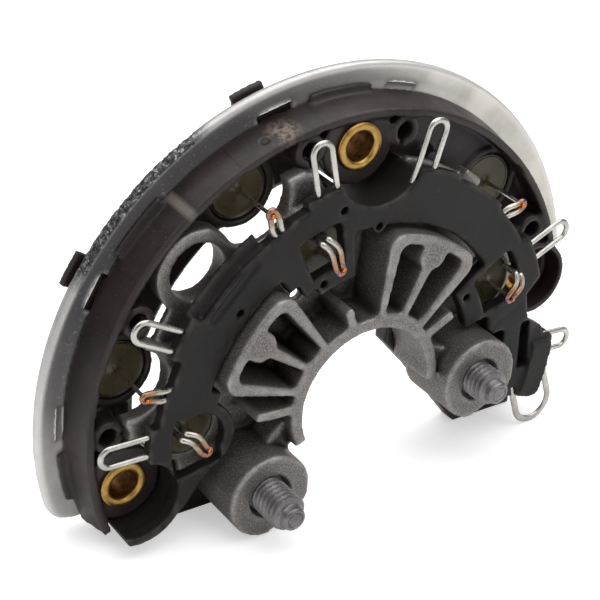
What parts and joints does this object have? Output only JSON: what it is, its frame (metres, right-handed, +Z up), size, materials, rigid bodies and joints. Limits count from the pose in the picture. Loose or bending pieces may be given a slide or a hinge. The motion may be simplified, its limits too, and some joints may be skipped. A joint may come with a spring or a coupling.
{
  "type": "alternator rectifier",
  "caption": "Horseshoe rectifier with a rear heat sink plate, a finned casting, pressed-in diodes, wire loops and threaded studs.",
  "frame": {"origin": "centre of the base rectangle, at the level on which the two legs stand", "axes": "+Z up, -Y the side that carries the studs and wire loops, which is the side seen in use; +X to the right seen from there"},
  "size_m": [0.1304, 0.0336, 0.0904],
  "materials": {
    "machined_aluminium": "turned, satin",
    "blasted_aluminium": "shot blasted, matt with a fine sparkle",
    "black_plastic": "moulded, semi gloss",
    "charcoal_plastic": "moulded, matt",
    "stud_steel": "zinc plated, dull",
    "brass": "turned",
    "can_metal": "dark plated",
    "filling": "cast resin, satin",
    "tinned_wire": "tinned, bright",
    "heated_wire": "welded, tinted copper and blue by heat"
  },
  "bodies": {
    "root": {"negative_plate": "machined_aluminium", "insulator_ring": "black_plastic", "terminal_plate": "charcoal_plastic", "positive_casting": "blasted_aluminium", "stud_left": "stud_steel", "stud_right": "stud_steel", "bushing_left": "brass", "bushing_top": "brass", "bushing_right": "brass", "can_outer_left": "can_metal", "can_outer_top": "can_metal", "can_outer_right": "can_metal", "can_inner_left": "can_metal", "can_inner_top": "can_metal", "can_inner_right": "can_metal", "diode_fillings": "filling", "diode_leads": "heated_wire", "stator_loop_1": "tinned_wire", "stator_loop_2": "tinned_wire", "stator_loop_3": "tinned_wire", "stator_loop_4": "tinned_wire", "stator_loop_5": "tinned_wire", "end_loop": "tinned_wire", "lead_hook_1": "heated_wire", "lead_hook_2": "heated_wire", "lead_hook_3": "heated_wire", "lead_hook_4": "heated_wire", "lead_hook_5": "heated_wire", "lead_hook_6": "heated_wire", "eyelet_terminal": "tinned_wire"}
  },
  "joints": []
}
